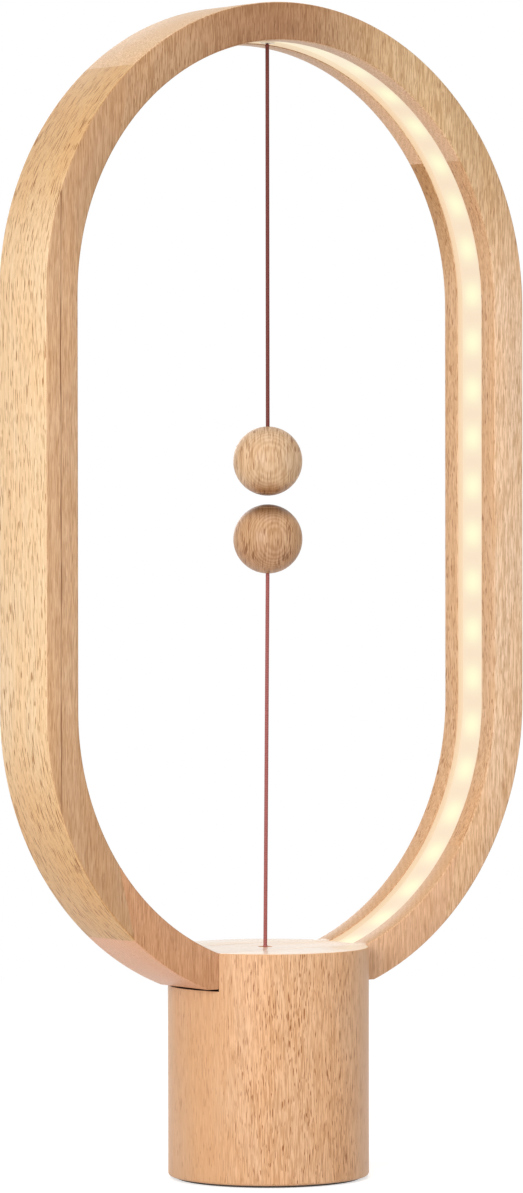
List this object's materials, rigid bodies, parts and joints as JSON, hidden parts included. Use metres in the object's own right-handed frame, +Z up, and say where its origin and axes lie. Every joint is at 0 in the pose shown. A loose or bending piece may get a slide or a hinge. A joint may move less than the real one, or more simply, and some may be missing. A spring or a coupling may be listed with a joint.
{
  "type": "magnetic balance lamp",
  "caption": "Table lamp: beech hoop with a glowing inner strip on a round beech base; magnetic balls on cords meet in mid-air and work a pull switch.",
  "frame": {"origin": "middle of the foot pad's underside, on the table", "axes": "+Z up, +X along the hoop's width to the right, +Y to the back, where the power inlet is"},
  "size_m": [0.2, 0.068, 0.3959],
  "materials": {
    "hoop_wood": "oiled beech, fine vertical grain, satin",
    "crown_wood": "oiled beech, paler end grain, satin",
    "base_wood": "turned beech, upright grain with short dark flecks, satin",
    "ball_wood": "turned beech with faint rings, satin",
    "milky_strip": "milky silicone, lit warm white from behind",
    "tape": "white flexible circuit",
    "chip": "moulded LED packages",
    "cord": "dark red braided cord",
    "bush": "milky plastic",
    "steel": "bright zinc",
    "magnet": "nickel plate",
    "spring_steel": "drawn wire",
    "brass": "bare brass",
    "black_plastic": "moulded, fine texture",
    "white_plastic": "moulded acetal",
    "board": "green circuit board",
    "parts_black": "moulded and sleeved components",
    "wire": "insulated wire",
    "pad": "soft rubber sheet"
  },
  "bodies": {
    "lamp": {"hoop_crown": "crown_wood", "hoop_left_side": "hoop_wood", "hoop_right_side": "hoop_wood", "hoop_foot": "crown_wood", "strip_lens": "milky_strip", "led_tape": "tape", "led_chips": "chip", "led_lead": "wire", "crown_bush": "bush", "crown_knot": "cord", "cord_guide": "bush", "return_spring": "spring_steel", "switch_case": "black_plastic", "switch_lid": "black_plastic", "switch_terminals": "brass", "switch_screws": "steel", "switch_lead": "wire", "base_body": "base_wood", "base_cover": "black_plastic", "cover_screws": "steel", "foot_pad": "pad", "ballast_disc": "steel", "driver_board": "board", "board_parts": "parts_black", "usb_socket": "steel", "board_screws": "steel", "hoop_screws": "steel"},
    "upper_bend": {"upper_cord_bead": "cord"},
    "upper_pendant": {"upper_cord": "cord", "upper_ball": "ball_wood", "upper_magnet": "magnet", "upper_plug": "ball_wood"},
    "lower_bend": {"lower_cord_bead": "cord"},
    "lower_line": {"lower_cord": "cord"},
    "lower_float": {"lower_ball": "ball_wood", "lower_magnet": "magnet", "lower_plug": "ball_wood"},
    "puller": {"pull_cord": "cord", "pull_stem": "white_plastic", "contact_bridge": "brass"}
  },
  "joints": [
    {"name": "upper_side_swing", "type": "hinge", "parent": "lamp", "child": "upper_bend", "pos_m": [0, 0, 0.38222], "axis": [0, 1, 0], "range_deg": [-30, 30]},
    {"name": "upper_swing", "type": "hinge", "parent": "upper_bend", "child": "upper_pendant", "pos_m": [0, 0, 0.38222], "axis": [1, 0, 0], "range_deg": [-60, 60]},
    {"name": "lower_side_swing", "type": "hinge", "parent": "lamp", "child": "lower_bend", "pos_m": [-0.0013, 0, 0.0782], "axis": [0, 1, 0], "range_deg": [-20, 20], "stiffness_Nm_per_rad": 0.03},
    {"name": "lower_swing", "type": "hinge", "parent": "lower_bend", "child": "lower_line", "pos_m": [-0.0013, 0, 0.0782], "axis": [1, 0, 0], "range_deg": [-20, 20], "stiffness_Nm_per_rad": 0.03},
    {"name": "lower_ball_drop", "type": "slide", "parent": "lower_line", "child": "lower_float", "axis": [0.0094, 0, 1], "range_m": [-0.1245, 0], "deforming": ["lower_cord"]},
    {"name": "pull_stem_slide", "type": "slide", "parent": "lamp", "child": "puller", "axis": [0, 0, 1], "range_m": [-0.003, 0], "deforming": ["return_spring"]}
  ],
  "couplings": [
    {"joint": "pull_stem_slide", "follows": "lower_ball_drop", "ratio": 0.024}
  ]
}
